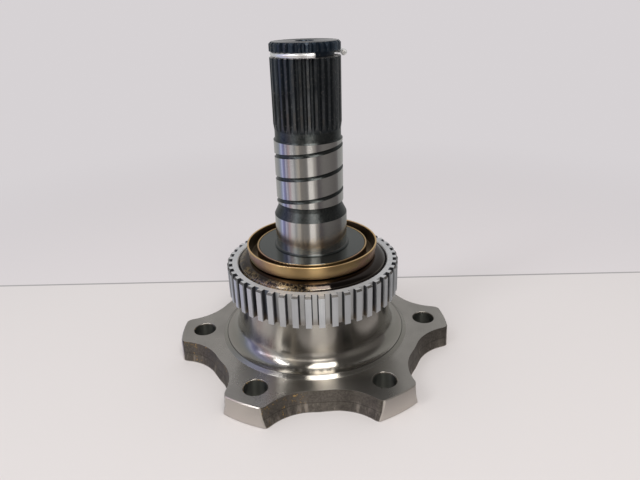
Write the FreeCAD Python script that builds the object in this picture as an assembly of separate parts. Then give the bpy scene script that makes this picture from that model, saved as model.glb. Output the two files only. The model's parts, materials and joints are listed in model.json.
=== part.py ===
import FreeCAD, Part
import math
import os

# Axle stub shaft: a splined and ground shaft forged in one piece with a six lobed bolt flange.
# A toothed speed ring and a dust deflector are pressed on its hub, and a round wire
# retaining ring lies in a groove near the splined end.
# The shaft stands on the flange's joint face, axis on +Z, with one lobe on +X. Sizes in mm.

# Flange and its bolt lobes
flange_thickness = 11.0
flange_diameter = 140.0
lobe_count = 6
bolt_hole_diameter = 11.0
bolt_hole_chamfer = 0.4
bolt_edge_distance = 11.5
turned_edge_chamfer = 0.4

# Scallops forged between the lobes
waist_land = 7.1
waist_arc_angle = 8.0
scallop_radius = 25.0
lobe_corner_radius = 5.0
turning_stock = 0.3
parting_line_height = 4.5
upper_draft_angle = 4.0
lower_draft_angle = 12.0

# Register and centre hole in the joint face
register_diameter = 90.0
register_depth = 3.5
centre_drill_diameter = 4.0
centre_drill_depth = 9.0
centre_cone_diameter = 8.5
centre_cone_angle = 60.0
drill_point_angle = 118.0

# Ledge and hub
ledge_height = 1.35
ledge_slope_length = 2.2
hub_fillet_radius = 7.0
hub_length = 24.3
ring_stop_height = 1.5
shoulder_length = 17.9
shoulder_round_radius = 5.5
deflector_seat_diameter = 53.0
deflector_seat_length = 5.7
deflector_seat_chamfer = 0.3

# Bearing and bush journals
lower_journal_diameter = 35.0
lower_journal_length = 16.4
collar_step = 0.9
collar_height = 0.35
collar_cone_height = 0.45
shoulder_cone_length = 4.1
relief_length = 2.4
relief_depth = 0.5
upper_journal_diameter = 32.0
upper_journal_length = 30.4
neck_depth = 0.7
neck_length = 3.8

# Oil groove that winds round the upper journal, right handed
oil_groove_pitch = 10.65
oil_groove_radius = 1.0
oil_groove_depth = 0.7
oil_groove_end_angle = 86.0
oil_groove_stretch_angle = 120.0

# Spline
spline_diameter = 31.4
spline_tooth_count = 30
spline_depth = 1.25
spline_flank_angle = 30.0
spline_lead_length = 3.0
spline_length = 28.35
spline_cutter_radius = 12.0
spline_clocking_angle = 1.5
shaft_end_length = 3.85
shaft_end_chamfer = 0.9

# Speed ring pressed on the hub
speed_ring_seat_diameter = 75.0
speed_ring_web = 2.8
speed_ring_height = 15.7
speed_ring_tooth_count = 45
speed_ring_tooth_depth = 2.6
speed_ring_slot_width = 3.2
speed_ring_chamfer = 0.8
speed_ring_bore_chamfer = 0.4
speed_ring_clocking_angle = 0.8

# Dust deflector pressed on the hub's nose
deflector_wall = 0.8
deflector_channel_width = 3.4
deflector_height = 6.75
deflector_inner_height = 5.8
deflector_flare = 0.75
deflector_bend_radius = 1.2
deflector_bend_steps = 3

# Retaining ring of round spring wire
retaining_wire_diameter = 2.3
retaining_wire_flats = 12
retaining_side_clearance = 0.1
retaining_floor_clearance = 0.08
retaining_groove_spare_depth = 0.5
retaining_spread = 1.55
retaining_gap_angle = 63.0
retaining_gap_direction = -50.6

# How far cutting tools run past the faces that they cut
overrun = 1.0

# Heights above the joint face
z_stop = flange_thickness + hub_length
z_shoulder = z_stop + shoulder_length
z_disc = z_shoulder + deflector_seat_length
z_collar = z_disc + collar_height
z_lower_end = z_disc + lower_journal_length
z_relief = z_lower_end + shoulder_cone_length
z_upper_start = z_relief + relief_length
z_upper_end = z_upper_start + upper_journal_length
z_neck_end = z_upper_end + neck_length
z_spline_start = z_neck_end + spline_lead_length
z_groove = z_spline_start + spline_length
z_groove_top = z_groove + retaining_wire_diameter + 2 * retaining_side_clearance
z_top = z_groove_top + shaft_end_length

# Radii that follow from the sizes above
flange_radius = flange_diameter / 2
speed_ring_seat_radius = speed_ring_seat_diameter / 2
speed_ring_floor_radius = speed_ring_seat_radius + speed_ring_web
speed_ring_radius = speed_ring_floor_radius + speed_ring_tooth_depth
hub_radius = speed_ring_seat_radius + ring_stop_height
ledge_radius = hub_radius + hub_fillet_radius
ledge_toe_radius = ledge_radius + ledge_slope_length
waist_radius = ledge_toe_radius + waist_land
bolt_circle_radius = flange_radius - bolt_edge_distance
deflector_seat_radius = deflector_seat_diameter / 2
lower_journal_radius = lower_journal_diameter / 2
collar_radius = lower_journal_radius + collar_step
upper_journal_radius = upper_journal_diameter / 2
relief_radius = upper_journal_radius - relief_depth
neck_radius = upper_journal_radius - neck_depth
spline_radius = spline_diameter / 2
spline_root_radius = spline_radius - spline_depth
groove_floor_radius = spline_radius - retaining_wire_diameter - retaining_groove_spare_depth
retaining_centre_radius = (groove_floor_radius + retaining_floor_clearance
                           + retaining_wire_diameter / 2 + retaining_spread)

ORIGIN = FreeCAD.Vector(0, 0, 0)
UP = FreeCAD.Vector(0, 0, 1)
ALONG_Y = FreeCAD.Vector(0, 1, 0)


def short_arc(start, centre, end):
    """Round edge the short way about a centre, from one point to another."""
    outward = ((start - centre) + (end - centre)).normalize()
    return Part.Arc(start, centre + outward * (start - centre).Length, end).toShape()


class Section:
    """Half section drawn edge by edge in the XZ plane, then turned about the Z axis."""

    def __init__(self, radius, height):
        self.start = FreeCAD.Vector(radius, 0, height)
        self.here = self.start
        self.edges = []

    def line(self, radius, height):
        """Straight edge to a point given as radius and height."""
        there = FreeCAD.Vector(radius, 0, height)
        self.edges.append(Part.LineSegment(self.here, there).toShape())
        self.here = there
        return self

    def arc(self, radius, height, centre_radius, centre_height):
        """Round edge the short way about a centre to a point given as radius and height."""
        there = FreeCAD.Vector(radius, 0, height)
        centre = FreeCAD.Vector(centre_radius, 0, centre_height)
        self.edges.append(short_arc(self.here, centre, there))
        self.here = there
        return self

    def steps(self, radius, height, centre_radius, centre_height, count):
        """Pressed bend: equal straight steps along the short arc about a centre to a point."""
        centre = FreeCAD.Vector(centre_radius, 0, centre_height)
        first = self.here - centre
        last = FreeCAD.Vector(radius, 0, height) - centre
        bend = first.getAngle(last)
        for index in range(1, count + 1):
            part = index / count
            there = first * math.sin((1 - part) * bend) + last * math.sin(part * bend)
            there = centre + there / math.sin(bend)
            self.line(there.x, there.z)
        return self

    def turned(self):
        """Close the section and turn it into a solid."""
        self.line(self.start.x, self.start.z)
        return Part.Face(Part.Wire(self.edges)).revolve(ORIGIN, UP, 360)


def polar(radius, degrees, height=0.0):
    """Point at a radius, an angle from +X and a height."""
    angle = math.radians(degrees)
    return FreeCAD.Vector(radius * math.cos(angle), radius * math.sin(angle), height)


def around(shape, count, first_angle=0.0):
    """Equally spaced copies of a shape about the Z axis."""
    copies = []
    for index in range(count):
        copy = shape.copy()
        copy.rotate(ORIGIN, UP, first_angle + index * 360.0 / count)
        copies.append(copy)
    return copies


def centre_hole_points():
    """Radius and depth of each corner of a centre drilled hole, from its bottom to its mouth."""
    drill_radius = centre_drill_diameter / 2
    cone_radius = centre_cone_diameter / 2
    point_length = drill_radius / math.tan(math.radians(drill_point_angle / 2))
    cone_length = (cone_radius - drill_radius) / math.tan(math.radians(centre_cone_angle / 2))
    bottom = cone_length + centre_drill_depth
    return [(0.0, bottom), (drill_radius, bottom - point_length),
            (drill_radius, cone_length), (cone_radius, 0.0)]


def draw_joint_face(section):
    """Centre hole, register recess and flat joint face, out to the flange's turned edge."""
    for radius, depth in centre_hole_points()[1:]:
        section.line(radius, register_depth + depth)
    section.line(register_diameter / 2, register_depth)
    section.line(register_diameter / 2, turned_edge_chamfer)
    section.line(register_diameter / 2 + turned_edge_chamfer, 0)
    section.line(flange_radius - turned_edge_chamfer, 0)


def draw_flange_and_hub(section):
    """Flange edge and top, the ledge, and the hub with its speed ring seat and rounded shoulder."""
    section.line(flange_radius, turned_edge_chamfer)
    section.line(flange_radius, flange_thickness - turned_edge_chamfer)
    section.line(flange_radius - turned_edge_chamfer, flange_thickness)
    section.line(ledge_toe_radius, flange_thickness)
    z_ledge = flange_thickness + ledge_height
    section.line(ledge_radius, z_ledge)
    z_fillet = z_ledge + hub_fillet_radius
    section.arc(hub_radius, z_fillet, ledge_radius, z_fillet)
    section.line(hub_radius, z_stop)
    section.line(speed_ring_seat_radius, z_stop)
    z_round = z_shoulder - shoulder_round_radius
    section.line(speed_ring_seat_radius, z_round)
    flat_radius = speed_ring_seat_radius - shoulder_round_radius
    section.arc(flat_radius, z_shoulder, flat_radius, z_round)
    section.line(deflector_seat_radius, z_shoulder)
    section.line(deflector_seat_radius, z_disc - deflector_seat_chamfer)
    section.line(deflector_seat_radius - deflector_seat_chamfer, z_disc)


def draw_journals(section):
    """Collar, lower journal, cone and relief, upper journal and the neck below the spline."""
    section.line(collar_radius, z_disc)
    section.line(collar_radius, z_collar)
    section.line(lower_journal_radius, z_collar + collar_cone_height)
    section.line(lower_journal_radius, z_lower_end)
    section.line(relief_radius, z_relief)
    section.line(relief_radius, z_upper_start - relief_depth)
    section.line(upper_journal_radius, z_upper_start)
    section.line(upper_journal_radius, z_upper_end - neck_depth)
    section.line(neck_radius, z_upper_end)
    section.line(neck_radius, z_neck_end)


def draw_splined_end(section):
    """Outside of the spline, the retaining groove, and the shaft's chamfered and drilled end."""
    section.line(spline_radius, z_spline_start)
    section.line(spline_radius, z_groove)
    section.line(groove_floor_radius, z_groove)
    section.line(groove_floor_radius, z_groove_top)
    section.line(spline_radius, z_groove_top)
    section.line(spline_radius, z_top - shaft_end_chamfer)
    section.line(spline_radius - shaft_end_chamfer, z_top)
    for radius, depth in reversed(centre_hole_points()):
        section.line(radius, z_top - depth)


def lobed_outline(growth, height):
    """Closed outline of the forged lobes at a height, grown all round by the draft's offset.

    Between two lobes the waist is a short arc about the axis. It runs into a concave scallop on
    each side, and each scallop into the convex corner of a lobe's nose. All meet tangentially.
    """
    nose_radius = flange_radius + turning_stock
    to_hollow = waist_radius + scallop_radius
    to_corner = nose_radius - lobe_corner_radius
    between = scallop_radius + lobe_corner_radius
    cosine = (to_hollow ** 2 + to_corner ** 2 - between ** 2) / (2 * to_hollow * to_corner)
    waist_angle = waist_arc_angle / 2
    corner_angle = waist_angle + math.degrees(math.acos(cosine))
    axis = FreeCAD.Vector(0, 0, height)
    stretches = []
    for index in range(lobe_count):
        middle = (index + 0.5) * 360.0 / lobe_count
        for side in (-1, 1):
            hollow = polar(to_hollow, middle + side * waist_angle, height)
            corner = polar(to_corner, middle + side * corner_angle, height)
            waist = polar(waist_radius + growth, middle + side * waist_angle, height)
            tangent = hollow + (corner - hollow).normalize() * (scallop_radius - growth)
            nose = polar(nose_radius + growth, middle + side * corner_angle, height)
            if side < 0:
                stretches += [(nose, corner), (tangent, hollow), (waist, axis)]
            else:
                stretches += [(waist, hollow), (tangent, corner), (nose, axis)]
    edges = []
    for index, (start, centre) in enumerate(stretches):
        end = stretches[(index + 1) % len(stretches)][0]
        edges.append(short_arc(start, centre, end))
    return Part.Wire(edges)


def scallop_tool():
    """What the die leaves away between the lobes: draft is light above the parting line, steep below."""
    upper_slope = math.tan(math.radians(upper_draft_angle))
    lower_slope = math.tan(math.radians(lower_draft_angle))
    parting_growth = (flange_thickness - parting_line_height) * upper_slope
    top = lobed_outline(-overrun * upper_slope, flange_thickness + overrun)
    parting = lobed_outline(parting_growth, parting_line_height)
    bottom = lobed_outline(parting_growth + (parting_line_height + overrun) * lower_slope, -overrun)
    lobes = Part.makeLoft([bottom, parting, top], True, True)
    blank_radius = flange_radius + turning_stock + 2 * flange_thickness
    blank_height = flange_thickness + 2 * overrun
    blank = Part.makeCylinder(blank_radius, blank_height, FreeCAD.Vector(0, 0, -overrun))
    return blank.cut(lobes)


def bolt_hole_tools():
    """Bolt holes with a chamfer at each mouth, one in the middle of each lobe."""
    radius = bolt_hole_diameter / 2
    mouth = radius + bolt_hole_chamfer + overrun
    section = Section(0, -overrun)
    section.line(mouth, -overrun).line(radius, bolt_hole_chamfer)
    section.line(radius, flange_thickness - bolt_hole_chamfer)
    section.line(mouth, flange_thickness + overrun).line(0, flange_thickness + overrun)
    hole = section.turned()
    hole.translate(FreeCAD.Vector(bolt_circle_radius, 0, 0))
    return around(hole, lobe_count)


def spline_space_tools():
    """Spaces between the spline's teeth, each ending where the round cutter lifts out of the neck."""
    pitch_radius = spline_radius - spline_depth / 2
    half_space = math.pi * pitch_radius / (2 * spline_tooth_count)
    slope = math.tan(math.radians(spline_flank_angle))
    outer_radius = spline_radius + overrun
    root_half = half_space - (pitch_radius - spline_root_radius) * slope
    outer_half = half_space + (outer_radius - pitch_radius) * slope
    lift = math.sqrt(2 * spline_cutter_radius * (neck_radius - spline_root_radius))
    z_lift = z_neck_end + lift
    corners = [(spline_root_radius, -root_half), (outer_radius, -outer_half),
               (outer_radius, outer_half), (spline_root_radius, root_half)]
    points = [FreeCAD.Vector(radius, across, z_lift) for radius, across in corners]
    face = Part.Face(Part.makePolygon(points + points[:1]))
    straight = face.extrude(UP * (z_top + overrun - z_lift))
    rise = outer_radius - spline_root_radius
    sweep = math.degrees(math.acos(1 - rise / spline_cutter_radius))
    cutter_axis = FreeCAD.Vector(spline_root_radius + spline_cutter_radius, 0, z_lift)
    lifted = face.revolve(cutter_axis, ALONG_Y, -sweep)
    return around(straight.fuse(lifted), spline_tooth_count, spline_clocking_angle)


def oil_groove_tools():
    """Round cutter carried along a right handed helix, in equal stretches of up to a third of a turn."""
    z_begin = z_upper_start - relief_depth
    height = z_upper_end - z_begin
    turn = 360.0 * height / oil_groove_pitch
    stretch_count = math.ceil(turn / oil_groove_stretch_angle)
    stretch_height = height / stretch_count
    centre_radius = upper_journal_radius - oil_groove_depth + oil_groove_radius
    helix = Part.makeHelix(oil_groove_pitch, stretch_height, centre_radius)
    circle = Part.Wire(Part.makeCircle(oil_groove_radius, FreeCAD.Vector(centre_radius, 0, 0), ALONG_Y))
    stretch = Part.Wire(helix.Edges).makePipeShell([circle], True, True)
    stretches = []
    for index in range(stretch_count):
        copy = stretch.copy()
        copy.rotate(ORIGIN, UP, oil_groove_end_angle - turn * (1 - index / stretch_count))
        copy.translate(UP * (z_begin + index * stretch_height))
        stretches.append(copy)
    return stretches


def make_stub_shaft():
    """Flange, hub and shaft: one forging, turned, then cut to its lobes, holes, spline and groove."""
    bottom_radius, bottom_depth = centre_hole_points()[0]
    section = Section(bottom_radius, register_depth + bottom_depth)
    draw_joint_face(section)
    draw_flange_and_hub(section)
    draw_journals(section)
    draw_splined_end(section)
    shaft = section.turned()
    shaft = shaft.cut(oil_groove_tools())
    shaft = shaft.cut(scallop_tool())
    shaft = shaft.cut(bolt_hole_tools())
    return shaft.cut(spline_space_tools())


def make_speed_ring():
    """Ring with milled slots that leave square teeth, chamfered at the top edge and at the bore."""
    z_ring_top = z_stop + speed_ring_height
    section = Section(speed_ring_seat_radius, z_stop)
    section.line(speed_ring_radius, z_stop).line(speed_ring_radius, z_ring_top - speed_ring_chamfer)
    section.line(speed_ring_radius - speed_ring_chamfer, z_ring_top)
    section.line(speed_ring_seat_radius + speed_ring_bore_chamfer, z_ring_top)
    section.line(speed_ring_seat_radius, z_ring_top - speed_ring_bore_chamfer)
    slot = Part.makeBox(speed_ring_tooth_depth + overrun, speed_ring_slot_width,
                        speed_ring_height + 2 * overrun,
                        FreeCAD.Vector(speed_ring_floor_radius, -speed_ring_slot_width / 2, z_stop - overrun))
    half_pitch = 180.0 / speed_ring_tooth_count
    slots = around(slot, speed_ring_tooth_count, speed_ring_clocking_angle + half_pitch)
    return section.turned().cut(slots)


def make_dust_deflector():
    """Pressed sheet channel with a plain inner wall, a flat floor and a flared outer wall."""
    inner = deflector_seat_radius
    channel = inner + deflector_wall
    outer_channel = channel + deflector_channel_width
    outer = outer_channel + deflector_wall
    z_floor = z_shoulder + deflector_wall
    z_rim = z_shoulder + deflector_height
    z_bend = z_shoulder + deflector_bend_radius
    inner_bend = deflector_bend_radius - deflector_wall
    bend_centre = outer - deflector_bend_radius
    z_inner = z_shoulder + deflector_inner_height
    section = Section(inner, z_shoulder)
    section.line(bend_centre, z_shoulder)
    section.steps(outer, z_bend, bend_centre, z_bend, deflector_bend_steps)
    section.line(outer + deflector_flare, z_rim).line(outer_channel + deflector_flare, z_rim)
    section.line(outer_channel, z_bend)
    section.steps(outer_channel - inner_bend, z_floor, bend_centre, z_bend, deflector_bend_steps)
    section.line(channel, z_floor).line(channel, z_inner).line(inner, z_inner)
    return section.turned()


def make_retaining_ring():
    """Open ring of wire, sprung towards +X so that its left side lies at the groove's floor.

    Its round section is drawn as a polygon of many flats whose corners lie on the wire's surface.
    """
    height = (z_groove + z_groove_top) / 2
    centre = FreeCAD.Vector(retaining_spread, 0, height)
    start_angle = retaining_gap_direction + retaining_gap_angle / 2
    corners = []
    for index in range(retaining_wire_flats):
        corner = polar(retaining_wire_diameter / 2, (index + 0.5) * 360.0 / retaining_wire_flats)
        corners.append(centre + FreeCAD.Vector(retaining_centre_radius + corner.x, 0, corner.y))
    wire_end = Part.Face(Part.makePolygon(corners + corners[:1]))
    ring = wire_end.revolve(centre, UP, 360 - retaining_gap_angle)
    ring.rotate(centre, UP, start_angle)
    return ring


def main():
    """Make each piece and write it to its own file."""
    pieces = {
        "stub_shaft": make_stub_shaft(),
        "speed_ring": make_speed_ring(),
        "dust_deflector": make_dust_deflector(),
        "retaining_ring": make_retaining_ring(),
    }
    os.makedirs("parts", exist_ok=True)
    for name, shape in pieces.items():
        shape.exportStep(os.path.join("parts", name + ".step"))
        print(name, shape.isValid(), len(shape.Solids), round(shape.Volume, 1), shape.BoundBox)


main()
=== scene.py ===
"""Looks of a flanged axle stub shaft: ground, turned, forged and blackened steel, a zinc plated
speed ring, a yellow zinc dust deflector and a bright wire retaining ring, on a pale studio table.

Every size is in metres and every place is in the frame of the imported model, axis on +Z.
"""

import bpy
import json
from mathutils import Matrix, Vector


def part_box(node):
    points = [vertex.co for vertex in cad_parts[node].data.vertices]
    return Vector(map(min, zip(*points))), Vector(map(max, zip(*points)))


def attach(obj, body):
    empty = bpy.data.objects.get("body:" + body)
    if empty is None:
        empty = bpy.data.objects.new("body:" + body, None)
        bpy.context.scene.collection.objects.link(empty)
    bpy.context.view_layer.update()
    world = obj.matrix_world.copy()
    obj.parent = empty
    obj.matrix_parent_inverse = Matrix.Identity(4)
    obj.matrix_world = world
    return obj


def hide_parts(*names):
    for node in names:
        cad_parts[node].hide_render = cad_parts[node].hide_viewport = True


bl_info = {
    "name": "Axle Stub Shaft",
    "version": (1, 0, 0),
    "blender": (4, 5, 0),
    "location": "View3D > Sidebar > Stub Shaft",
    "description": "Finishes, wire ring, dust deflector and studio for an axle stub shaft",
    "category": "Object",
}

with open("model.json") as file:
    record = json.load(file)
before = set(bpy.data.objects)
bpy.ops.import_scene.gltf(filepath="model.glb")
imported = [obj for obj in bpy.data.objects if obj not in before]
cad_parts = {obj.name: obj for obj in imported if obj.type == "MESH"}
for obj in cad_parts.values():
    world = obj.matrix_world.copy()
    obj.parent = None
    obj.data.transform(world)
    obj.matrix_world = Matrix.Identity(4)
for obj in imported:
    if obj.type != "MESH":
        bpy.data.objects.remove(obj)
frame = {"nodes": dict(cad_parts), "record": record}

import json
import math

import bmesh
import bpy
import numpy as np
from bpy.props import FloatProperty, FloatVectorProperty, IntProperty, PointerProperty
from mathutils import Matrix, Vector

RING_LOW, RING_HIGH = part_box("speed_ring")
DEFLECTOR_LOW, DEFLECTOR_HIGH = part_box("dust_deflector")
WIRE_LOW, WIRE_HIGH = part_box("retaining_ring")
SHAFT_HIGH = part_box("stub_shaft")[1]

BLACK = (0.0, 0.0, 0.0)
# Softness of the edge between two finishes, in metres
HAIR = 0.00006
# Grain of the noises on steel, per metre
CLOUD_SCALE, BLOOM_SCALE, SPECK_SCALE, TURNING_SCALE, DRAWING_SCALE = 55.0, 75.0, 900.0, 900.0, 6000.0
# The part of a noise's range over which a finish changes
MIDDLE = (0.3, 0.7)
# A face is upright if its normal rises no more than this
STEEPEST_UPRIGHT = 0.12
# Turns a stretched highlight across the marks, as a share of a full turn
QUARTER_TURN = 0.25
# From the axis to the table's sides, in metres
TABLE_REACH = 4.0
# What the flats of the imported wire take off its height, in metres
FLATS_LOSS = 0.0000784
# Steps round the deflector, and along and round the wire
DEFLECTOR_STEPS, WIRE_ROWS, WIRE_COLUMNS = 192, 150, 32
# Edges sharper than this stay sharp
DEFLECTOR_SHARP, WIRE_SHARP = math.radians(35), math.radians(40)

# Name, place, width, height, watts and colour of each lamp, and the point that they all face
LAMPS = (
    ("window", (0.095, -0.46, 0.94), 0.39, 0.55, 5.4, (1.0, 0.96, 0.90)),
    ("left_side", (-0.60, -0.35, 0.78), 0.16, 0.40, 1.4, (0.97, 0.98, 1.0)),
)
LAMP_TARGET = (0.0, 0.0, 0.06)

WALL_BEHIND, WINDOW_AHEAD = (0.52, 0.51, 0.51), (1.0, 0.96, 0.91)
# Bearing from -Y in degrees and the colour that metal sees there
ROOM_BANDS = (
    (-180, WALL_BEHIND), (-140, (0.43, 0.43, 0.42)), (-118, (0.36, 0.38, 0.40)), (-109, (0.36, 0.41, 0.58)),
    (-104, (0.62, 0.66, 0.92)), (-97, (0.30, 0.31, 0.56)), (-90, (0.24, 0.24, 0.38)),
    (-84, (0.60, 0.59, 0.76)), (-79, (0.38, 0.36, 0.44)), (-72, (0.55, 0.42, 0.45)),
    (-64, (0.70, 0.67, 0.69)), (-56, (0.64, 0.64, 0.65)), (-50, (0.38, 0.38, 0.39)),
    (-42, (0.52, 0.50, 0.46)), (-36, (0.54, 0.49, 0.43)), (-31, (0.27, 0.25, 0.23)),
    (-12, (0.24, 0.23, 0.22)), (-8, (0.36, 0.34, 0.33)), (-4, WINDOW_AHEAD), (7, WINDOW_AHEAD),
    (15, (0.50, 0.47, 0.44)), (27, (0.15, 0.135, 0.14)), (46, (0.22, 0.21, 0.20)),
    (95, (0.165, 0.155, 0.15)), (106, (0.20, 0.19, 0.19)), (110, (0.33, 0.33, 0.32)),
    (145, (0.42, 0.42, 0.41)), (180, WALL_BEHIND),
)


def cad_mount(name):
    """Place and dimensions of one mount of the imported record."""
    for mount in frame["record"]["mounts"]:
        if mount["name"] == name:
            return mount
    raise KeyError(name)


LOWER_JOURNAL = cad_mount("lower_journal")
JOURNAL_LENGTH = LOWER_JOURNAL["dims"]["length_mm"] / 1000
JOURNAL_START = LOWER_JOURNAL["pos_m"][2] - JOURNAL_LENGTH / 2
JOINT_BOLTS = cad_mount("joint_bolts")["dims"]
BOLT_CIRCLE = JOINT_BOLTS["pcd_mm"] / 2000
BOLT_COUNT = JOINT_BOLTS["count"]
BOLT_HOLE = JOINT_BOLTS["hole_r_mm"] / 1000


def length(name, description, default):
    """A distance in metres."""
    return FloatProperty(name=name, description=description, default=default, unit="LENGTH", precision=5)


def angle(name, description, degrees):
    """An angle, given here in degrees."""
    return FloatProperty(name=name, description=description, default=math.radians(degrees), subtype="ANGLE")


def factor(name, description, default):
    """A share from 0 to 1."""
    return FloatProperty(name=name, description=description, default=default, min=0, max=1, subtype="FACTOR")


def colour(name, description, default):
    """A linear colour."""
    return FloatVectorProperty(name=name, description=description, default=default, size=3, min=0, max=1,
                               subtype="COLOR")


def scaled(tone, share):
    """A colour made darker or lighter."""
    return tuple(share * part for part in tone)


class StubShaftZones(bpy.types.PropertyGroup):
    """Heights and radii at which the shaft's finish changes."""

    flange_top: length("Flange top", "Turned top of the flange", 0.011)
    flange_radius: length("Flange radius", "Radius of the turned lobe ends", 0.070)
    parting: length("Parting line", "The forging's parting line", 0.0045)
    drip_top: length("Drip top", "Streaks on the forged walls begin here", 0.0075)
    drip_foot: length("Drip foot", "Streaks are strongest below here", 0.003)
    # Painted shade on the flange's reflections begins past this Y.
    painted_shade_front: length("Oil front", "Y beyond which the flange is oily", -0.043)
    ledge_radius: length("Ledge radius", "Radius of the ledge's crest", 0.046)
    fillet_radius: length("Fillet radius", "Hub's gloss begins to fade here", 0.047)
    hub_top: length("Hub top", "Shoulder under the speed ring", RING_LOW.z)
    dome_radius: length("Shoulder radius", "Least radius of the rounded shoulder", 0.0255)
    stain_radius: length("Stain radius", "Shoulder is stained beyond this radius", 0.0325)
    shoulder: length("Shoulder", "Flat under the dust deflector", DEFLECTOR_LOW.z)
    disc: length("Disc", "Flat disc inside the dust deflector", 0.0589)
    disc_radius: length("Disc radius", "Radius that holds the disc", 0.0270)
    journal_start: length("Journal start", "Foot of the lower ground band", JOURNAL_START)
    journal_end: length("Journal end", "Top of the lower ground band", JOURNAL_START + JOURNAL_LENGTH)
    bush_start: length("Bush start", "Foot of the upper ground band", 0.0818)
    bush_end: length("Bush end", "Top of the upper ground band", 0.1115)
    bush_radius: length("Bush radius", "Radius of the upper ground band", 0.016)
    spline_start: length("Spline start", "The spline's outside begins here", 0.119)
    # A painted blue reflection on the spline's left begins at this height.
    blue_reflection_start: length("Blued start", "The spline's left turns blue from here", 0.128)
    spline_radius: length("Spline radius", "Outside radius of the spline", 0.0157)
    groove_foot: length("Groove foot", "Lower edge of the retaining groove", 0.14735)


class StubShaftFinish(bpy.types.PropertyGroup):
    """Colours and roughness of the shaft's steel."""

    ground: colour("Ground steel", "Ground journals", (0.60, 0.59, 0.58))
    ground_roughness: factor("Ground roughness", "Gloss of the ground journals", 0.15)
    turned: colour("Turned steel", "Hub and fillet", (0.42, 0.40, 0.365))
    turned_roughness: factor("Turned roughness", "Gloss of the hub", 0.17)
    flange: colour("Flange steel", "Turned flange top", (0.46, 0.44, 0.41))
    flange_roughness: factor("Flange roughness", "Gloss of the flange top", 0.25)
    lobe_end: colour("Lobe ends", "Turned ends of the lobes", (0.58, 0.54, 0.50))
    # The walls of the bolt holes are given a darker tone.
    hole: colour("Bolt holes", "Oily walls of the bolt holes", (0.10, 0.105, 0.095))
    forged: colour("Forged skin", "Scallop walls as forged", (0.120, 0.105, 0.090))
    rust: colour("Rust", "Rust flecks on the forged skin", (0.42, 0.27, 0.10))
    dome: colour("Shoulder", "Heat tinted rounded shoulder", (0.056, 0.046, 0.042))
    dome_dark: colour("Dark shoulder", "Darkest drifts on the shoulder", (0.044, 0.036, 0.034))
    stain: colour("Stains", "Golden stains on the shoulder", (0.46, 0.33, 0.17))
    # Painted highlight: a thin light line on the shoulder along the speed ring.
    brim_highlight: colour("Brim", "Worn line along the speed ring", (0.40, 0.36, 0.30))
    disc: colour("Disc", "Dark disc inside the deflector", (0.115, 0.125, 0.12))
    scale: colour("Scale", "Dark scale in the unground recesses", (0.075, 0.08, 0.085))
    scale_pale: colour("Pale scale", "Thinner scale in drifts", (0.090, 0.102, 0.100))
    scale_speck: colour("Scale specks", "Pale specks in the scale", (0.135, 0.14, 0.138))
    scale_pit: colour("Scale pits", "Dark pits in the scale", (0.045, 0.05, 0.053))
    phosphate: colour("Phosphate", "Blackened spline", (0.022, 0.026, 0.030))
    worn: colour("Worn phosphate", "Worn tops of the teeth", (0.080, 0.086, 0.092))
    worn_warm: colour("Warm worn phosphate", "Worn tops with a brown film", (0.088, 0.080, 0.072))
    # Blue tint at the spline's end, and a painted blue reflection on its left.
    blue_tint_and_reflection: colour("Blued phosphate", "Blue drift at the end and the left", (0.016, 0.030, 0.052))
    dust: colour("Dust", "Pale specks on the spline", (0.15, 0.145, 0.135))
    end_face: colour("End face", "Dark end face of the shaft", (0.035, 0.040, 0.048))


class SpeedRingFinish(bpy.types.PropertyGroup):
    """Colours of the zinc plated speed ring and the places of its slots."""

    zinc: colour("Zinc", "Bright zinc plate", (0.63, 0.64, 0.66))
    tarnish: colour("Tarnish", "Duller zinc in streaks", (0.44, 0.45, 0.47))
    # Painted shade: dark blue-grey floors of the slots away from the front.
    slot: colour("Slots", "Oily floors of the slots", (0.15, 0.17, 0.21))
    # Painted light: pale floors of the slots at the front, where they face the light.
    slot_painted_light: colour("Clean slots", "Floors wiped clean at the front", (0.58, 0.58, 0.58))
    # Painted shade on the slots' walls and corners.
    slot_wall_shade: colour("Slot edges", "Walls and corners of the slots", (0.05, 0.05, 0.055))
    # The slots' floors turn browner towards their feet.
    slot_foot: colour("Slot feet", "Brown film at the slots' feet", (0.20, 0.15, 0.10))
    # Painted shade: a dark line on the teeth's top chamfer.
    broken: colour("Broken edge", "Tarnished chamfer of the teeth", (0.10, 0.095, 0.09))
    roughness: factor("Roughness", "Gloss of the plate", 0.38)
    teeth: IntProperty(name="Teeth", description="Number of teeth", default=45, min=1)
    clocking: angle("Clocking", "Middle of a tooth, from +X", 0.8)
    slot_half: length("Slot half width", "From a slot's middle to its wall", 0.0016)
    slot_floor: length("Slot floor", "Radius of the slots' floors", 0.0403)
    chamfer: length("Chamfer", "Broken top edge of the teeth", 0.0008)


class DeflectorSettings(bpy.types.PropertyGroup):
    """Size and finish of the pressed dust deflector."""

    wall: length("Wall", "Sheet thickness", 0.0008)
    channel: length("Channel", "Clear width of the channel", 0.0034)
    inner_height: length("Inner height", "Height of the plain inner wall", 0.0058)
    flare: length("Flare", "How far the outer wall leans out", 0.00075)
    bend_radius: length("Bend radius", "Outside radius of the bend", 0.0012)
    gold: colour("Gold", "Yellow chromate on zinc", (0.58, 0.40, 0.195))
    pink: colour("Pink", "Pink tint of the chromate", (0.46, 0.28, 0.19))
    green: colour("Green", "Green tint of the chromate", (0.37, 0.33, 0.15))
    # Painted shade inside the channel.
    brown: colour("Brown", "Dull chromate inside the channel", (0.13, 0.095, 0.055))
    roughness: factor("Roughness", "Gloss of the chromate", 0.30)


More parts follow.
